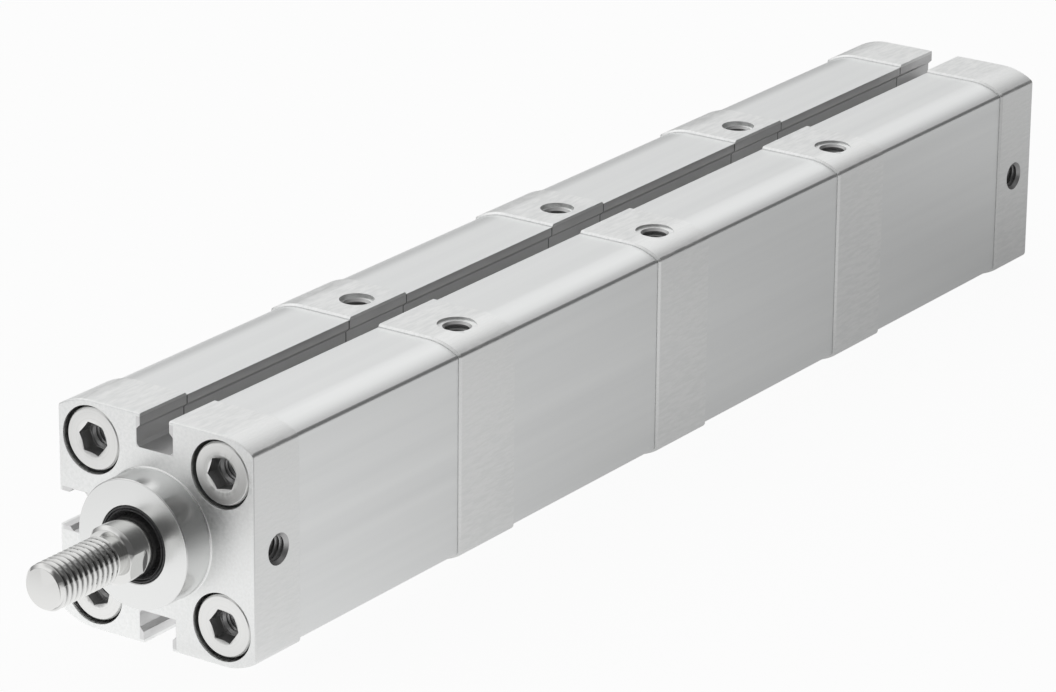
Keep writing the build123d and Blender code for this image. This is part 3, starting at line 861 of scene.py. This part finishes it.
turned_group, group_in, group_out = group_of(
    "turning_marks", {"Centre Offset": 0.0, "Ring Scale": 3200.0}, ("Rings", "Radius")
)
place = object_place(turned_group)
squares = []
for letter in "YZ":
    offset = math_node(
        turned_group, "SUBTRACT", math_node(turned_group, "ABSOLUTE", place[letter]),
        group_in.outputs["Centre Offset"],
    )
    squares.append(math_node(turned_group, "MULTIPLY", offset, offset))
ring_radius = math_node(turned_group, "SQRT", math_node(turned_group, "ADD", *squares))
spread = turned_group.nodes.new("ShaderNodeCombineXYZ")
link(turned_group, ring_radius, spread.inputs["X"])
link(turned_group, place["X"], spread.inputs["Y"])
rings = add_node(turned_group, "ShaderNodeTexNoise", Detail=2.0)
link(turned_group, spread.outputs[0], rings.inputs["Vector"])
link(turned_group, group_in.outputs["Ring Scale"], rings.inputs["Scale"])
link(turned_group, rings.outputs["Fac"], group_out.inputs["Rings"])
link(turned_group, ring_radius, group_out.inputs["Radius"])

turned_steel, tree, shader = metal("turned_screw_steel", (0.76, 0.76, 0.75), 0.3)
turning = use_group(tree, turned_group, Centre_Offset=corner_offset)
paint = mixed(tree, turning.outputs["Rings"], (0.70, 0.70, 0.69), (0.84, 0.84, 0.83))
link(tree, paint, shader.inputs["Base Color"])
vary_roughness(tree, shader, turning.outputs["Rings"], 0.26, 0.38)
raise_surface(tree, shader, turning.outputs["Rings"], 0.010 * mm, 0.6)


def hexagon_tool(turn, low, high):
    """The broach for a hexagon socket, with a corner at the angle turn from +Y."""
    points = [
        Vector((low, hexagon_radius * math.cos(a), hexagon_radius * math.sin(a)))
        for a in (turn + math.pi / 3 * corner for corner in range(7))
    ]
    tool = start_point("broach", points[0])
    draw_lines(points)
    bpy.ops.mesh.select_all(action="SELECT")
    bpy.ops.mesh.remove_doubles(threshold=touching)
    bpy.ops.mesh.edge_face_add()
    bpy.ops.mesh.extrude_region_move(TRANSFORM_OT_translate={"value": (high - low, 0, 0)})
    bpy.ops.mesh.select_all(action="SELECT")
    bpy.ops.mesh.normals_make_consistent(inside=False)
    bpy.ops.object.mode_set(mode="OBJECT")
    tool.data.materials.append(bore_shade)
    return tool


def flange_screw(face, side, y, z, turn):
    """One flange screw in its seat. Side points out of the cap."""
    top = face - side * head_recess
    seat, tip = top - side * head_length, top - side * (head_length + shank_length)
    floor, mouth = top - side * hexagon_depth, top - side * mouth_depth
    thread_end, above = floor - side * user_thread_length, top + side * beyond
    screw = turn_piece("flange_screw", [
        (top, 0), (top, head_radius - head_chamfer), (top - side * head_chamfer, head_radius),
        (seat, head_radius), (seat, shank_radius), (tip, shank_radius), (tip, 0),
    ])
    screw.data.materials.append(turned_steel)
    break_edges(screw, sharp_edge)
    boolean(screw, hexagon_tool(turn, min(floor, above), max(floor, above)))
    boolean(screw, turn_piece("mouth_tool", [
        (above, 0), (above, mouth_radius), (top, mouth_radius), (mouth, mouth_floor_radius),
        (mouth, 0),
    ]))
    cut_threaded_hole(
        screw, tip - side * beyond, thread_end, floor, tie_rod_bore_radius, "X", (0, 0, 0)
    )
    return move_piece(screw, y=y, z=z)


for place_name, face, side in (("front", 0.0, 1), ("rear", end_rear, -1)):
    screws = [
        flange_screw(face, side, y, z, turn) for (y, z), turn in zip(corner_places, hexagon_turns)
    ]
    deselect()
    for screw in screws:
        screw.select_set(True)
    bpy.context.view_layer.objects.active = screws[0]
    bpy.ops.object.join()
    screws[0].name = f"flange_screws_{place_name}_set"
    shade(screws[0])
    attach(screws[0], "housing")
    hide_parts(f"flange_screws_{place_name}")


# The front rod: ground and polished steel with an M8 thread, an undercut behind it, two wrench flats
# and a turned-down tail for the first piston, drilled as an air duct.
rod_low, rod_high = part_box("piston_rod")
piston_low, piston_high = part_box("piston_1")
rod_radius, tail_radius, core_radius = 5.0 * mm, 4.0 * mm, 1.25 * mm
shoulder_x, shoulder_chamfer = 12.0 * mm, 0.6 * mm
undercut_end, undercut_radius = 13.2 * mm, 3.25 * mm
nose_thread_radius, nose_root_radius, nose_pitch = 4.0 * mm, 3.32 * mm, 1.25 * mm
nose_chamfer = 0.65 * mm
nose_relief, thread_start = 0.06 * mm, shoulder_x + 0.63 * mm
flat_length, flat_half_width, flat_turn = 3.7 * mm, 4.5 * mm, math.radians(-12)
cross_hole_x, cross_hole_radius = piston_low.x - 0.65 * mm, 0.5 * mm


def thread_die(start, length, outer_radius, root_radius, pitch):
    """The helix that a thread-cutting die sweeps: wide outside, narrow at the root. It begins at a
    place and an angle where it touches no other face."""
    base_width, tip_width, first_angle, steps = 0.86 * pitch, 0.16 * pitch, math.radians(3.7), 30
    points = [Vector((start + place, 0, radius)) for place, radius in (
        (0, outer_radius), (base_width, outer_radius), ((base_width + tip_width) / 2, root_radius),
        ((base_width - tip_width) / 2, root_radius), (0, outer_radius),
    )]
    die = start_point("nose_die", points[0])
    draw_lines(points)
    bpy.ops.mesh.select_all(action="SELECT")
    bpy.ops.mesh.remove_doubles(threshold=touching)
    bpy.ops.object.mode_set(mode="OBJECT")
    activate(die)
    bpy.ops.object.modifier_add(type="SCREW")
    screw = die.modifiers[-1]
    screw.axis, screw.screw_offset, screw.iterations = "X", pitch, math.ceil(length / pitch)
    screw.steps = screw.render_steps = steps
    bpy.ops.object.modifier_apply(modifier=screw.name)
    bpy.ops.object.mode_set(mode="EDIT")
    bpy.ops.mesh.select_all(action="SELECT")
    bpy.ops.mesh.fill_holes(sides=4)
    bpy.ops.mesh.select_all(action="SELECT")
    bpy.ops.transform.rotate(value=first_angle, orient_axis="X", center_override=(0, 0, 0))
    bpy.ops.mesh.normals_make_consistent(inside=False)
    bpy.ops.object.mode_set(mode="OBJECT")
    return die


rod = turn_piece("front_rod", [
    (rod_low.x, 0), (rod_low.x, tail_radius), (piston_high.x, tail_radius),
    (piston_high.x, rod_radius),
    (shoulder_x - shoulder_chamfer, rod_radius), (shoulder_x, rod_radius - shoulder_chamfer),
    (shoulder_x, undercut_radius), (undercut_end, undercut_radius),
    (undercut_end + nose_thread_radius - undercut_radius, nose_thread_radius),
    (rod_high.x - nose_chamfer, nose_thread_radius),
    (rod_high.x, nose_thread_radius - nose_chamfer),
    (rod_high.x, 0),
], 128)
for side in (1, -1):
    deselect()
    bpy.ops.mesh.primitive_cube_add(size=1)
    cutter = bpy.context.object
    bpy.ops.object.mode_set(mode="EDIT")
    bpy.ops.transform.resize(value=(flat_length + beyond, rod_radius, 4 * rod_radius))
    bpy.ops.transform.translate(value=(
        shoulder_x - flat_length + (flat_length + beyond) / 2,
        side * (flat_half_width + rod_radius / 2), 0,
    ))
    bpy.ops.transform.rotate(value=-flat_turn, orient_axis="X", center_override=(0, 0, 0))
    bpy.ops.object.mode_set(mode="OBJECT")
    boolean(rod, cutter)
break_edges(rod, sharp_edge, angle=25)
boolean(rod, drill("core_drill", rod_low.x - beyond, cross_hole_x, core_radius))
boolean(rod, drill(
    "cross_drill", -rod_radius, rod_radius, cross_hole_radius, "Z", (cross_hole_x, 0, 0), 24
))
boolean(rod, thread_die(
    thread_start, rod_high.x - shoulder_x, nose_thread_radius + nose_relief, nose_root_radius,
    nose_pitch,
))
shade(rod, 20)

polished, tree, shader = metal("polished_rod_steel", (0.70, 0.70, 0.69), 0.09)
turning = use_group(tree, turned_group, Ring_Scale=900.0)
place = object_place(tree)
off = math_node(
    tree, "ABSOLUTE", math_node(tree, "SUBTRACT", place["X"], shoulder_x - flat_length)
)
# Painted shadow on the end wall of each wrench flat.
flat_end_shadow = math_node(
    tree, "MULTIPLY", math_node(tree, "LESS_THAN", off, sharp_edge),
    math_node(tree, "LESS_THAN", turning.outputs["Radius"], rod_radius - 1.5 * sharp_edge),
)
full_thread_x = undercut_end + nose_thread_radius - undercut_radius
on_thread = math_node(
    tree, "MULTIPLY", math_node(tree, "GREATER_THAN", place["X"], full_thread_x),
    math_node(tree, "LESS_THAN", place["X"], rod_high.x - nose_chamfer),
)
# Painted shade in the roots of the thread.
root_shade = math_node(
    tree, "MULTIPLY", on_thread, ease(
        tree, turning.outputs["Radius"], nose_root_radius, nose_thread_radius - 0.1 * mm, 1.0, 0.0
    ),
)
paint = mixed(tree, flat_end_shadow, (0.70, 0.70, 0.69), (0.16, 0.16, 0.16))
paint = mixed(tree, root_shade, paint, (0.22, 0.22, 0.22))
link(tree, paint, shader.inputs["Base Color"])
vary_roughness(tree, shader, turning.outputs["Rings"], 0.06, 0.13)
rod.data.materials.clear()
rod.data.materials.append(polished)
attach(rod, "rod_train")
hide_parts("piston_rod")


# The wiper: a ring of moulded black rubber, pressed into the collar's mouth. Its lip scrapes the rod
# clean as it slides in.
wiper_back, wiper_outer_radius, wiper_inner_radius = -3.0 * mm, 6.48 * mm, 5.03 * mm
wiper_ridge, wiper_ridge_radius = 0.05 * mm, 5.80 * mm
wiper_outline = [
    (wiper_back, wiper_inner_radius), (wiper_back, wiper_outer_radius),
    (-0.25 * mm, wiper_outer_radius), (-0.1 * mm, 6.36 * mm), (-0.1 * mm, 6.16 * mm),
    (-0.5 * mm, 6.02 * mm), (-0.5 * mm, 5.92 * mm), (wiper_ridge - 0.06 * mm, 5.86 * mm),
    (wiper_ridge, wiper_ridge_radius), (wiper_ridge - 0.08 * mm, 5.70 * mm),
    (-0.75 * mm, 5.45 * mm), (-1.15 * mm, 5.2 * mm), (-1.3 * mm, wiper_inner_radius),
    (wiper_back, wiper_inner_radius),
]
wiper = turn_piece(
    "wiper_ring", [(collar_length + place, radius) for place, radius in wiper_outline], 128
)
shade(wiper, 40)


def soft(name, colour, roughness):
    """A rubber or plastic with a faint grain."""
    material = bpy.data.materials.new(name)
    material.use_nodes = True
    tree = material.node_tree
    shader = tree.nodes["Principled BSDF"]
    shader.inputs["Base Color"].default_value = (*colour, 1)
    marks = use_group(tree, mottle_group)
    vary_roughness(tree, shader, marks.outputs["Blotches"], roughness - 0.06, roughness + 0.06)
    raise_surface(tree, shader, marks.outputs["Blotches"], 0.01 * mm, 0.5)
    return material


rubber = soft("black_rubber", (0.075, 0.075, 0.077), 0.28)
wiper.data.materials.append(rubber)
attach(wiper, "housing")
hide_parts("rod_wiper")


# The pieces inside, which keep their own shapes: tie rods, rod links, nut, bushings, pistons,
# magnets, guide rings, seals and cushion rings.
drawn_steel, tree, shader = metal("drawn_steel", (0.55, 0.55, 0.56), 0.3)
long_lines = use_group(tree, lines_group, Line_Scale=4000.0)
vary_roughness(tree, shader, long_lines.outputs["Lines"], 0.22, 0.38)
piston_metal, tree, shader = metal("turned_piston_aluminium", (0.72, 0.72, 0.73), 0.3)
turning = use_group(tree, turned_group)
vary_roughness(tree, shader, turning.outputs["Rings"], 0.24, 0.38)
bronze, tree, shader = metal("sintered_bronze", (0.60, 0.44, 0.24), 0.42)
marks = use_group(tree, mottle_group, Blotch_Scale=3000.0)
paint = mixed(tree, marks.outputs["Blotches"], (0.46, 0.33, 0.18), (0.66, 0.49, 0.27))
link(tree, paint, shader.inputs["Base Color"])
inner_finishes = {
    "tie_rods": drawn_steel, "piston_nut": drawn_steel, "rod_link": polished, "rod_bushing": bronze,
    "module_bushing": bronze, "piston_seals": rubber, "rod_seal": rubber, "module_seal": rubber,
    "module_orings": rubber, "front_cap_oring": rubber, "end_cap_oring": rubber,
    "guide_ring": soft("guide_plastic", (0.10, 0.10, 0.11), 0.45),
    "magnet_ring": soft("bonded_magnet", (0.14, 0.12, 0.11), 0.5),
    "bumpers": soft("cushion_rubber", (0.05, 0.05, 0.05), 0.5),
    "piston": piston_metal,
}
for name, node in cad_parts.items():
    stem = name.rstrip("0123456789").rstrip("_")
    if stem in inner_finishes:
        node.data.materials.clear()
        node.data.materials.append(inner_finishes[stem])
